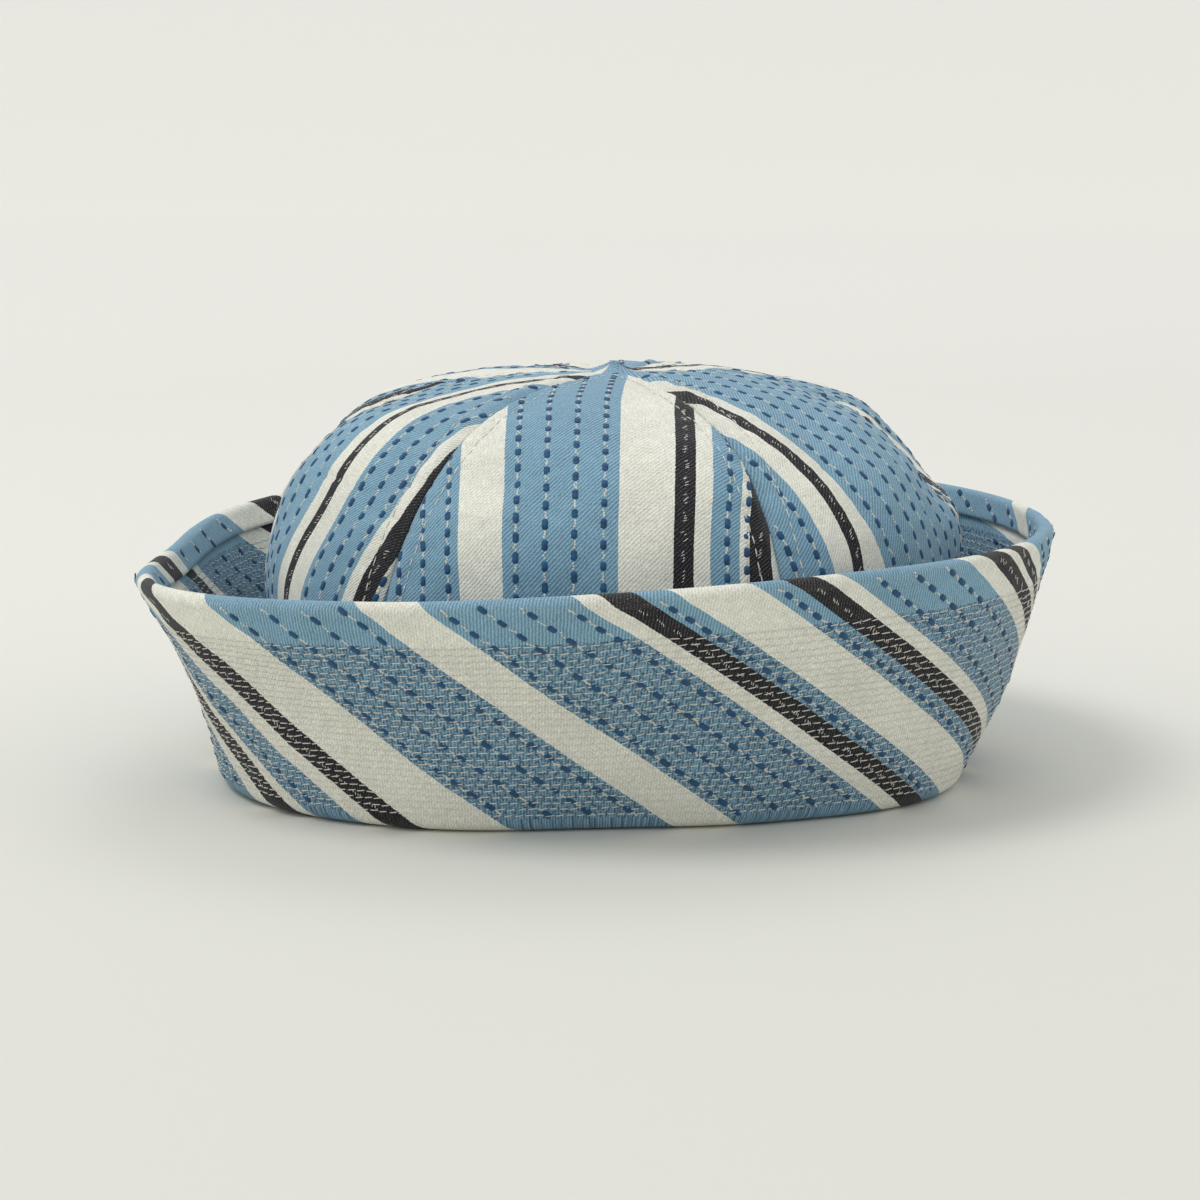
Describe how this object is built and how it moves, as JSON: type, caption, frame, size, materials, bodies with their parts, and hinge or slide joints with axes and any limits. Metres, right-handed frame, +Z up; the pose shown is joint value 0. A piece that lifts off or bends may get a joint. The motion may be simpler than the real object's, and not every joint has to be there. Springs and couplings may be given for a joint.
{
  "type": "sailor cap",
  "caption": "Striped cotton sailor cap: a panelled round crown inside a turned-up flared cuff, resting open side down.",
  "frame": {"origin": "centre of the bounding box in plan, at the surface the cap rests on", "axes": "+Z up, -Y towards the front of the cap"},
  "size_m": [0.2402, 0.2318, 0.1073],
  "materials": {
    "crown_cloth": "blue, white and black striped cotton twill with woven dashes",
    "cuff_cloth": "the same striped cotton twill, cut on the bias and quilted with rows of pale thread",
    "cuff_lining_cloth": "the same striped cotton twill with rows of stitching"
  },
  "bodies": {
    "root": {"crown_panel_1": "crown_cloth", "crown_panel_2": "crown_cloth", "crown_panel_3": "crown_cloth", "crown_panel_4": "crown_cloth", "crown_panel_5": "crown_cloth", "crown_panel_6": "crown_cloth", "cuff_outer": "cuff_cloth", "cuff_inner": "cuff_lining_cloth"}
  },
  "joints": []
}
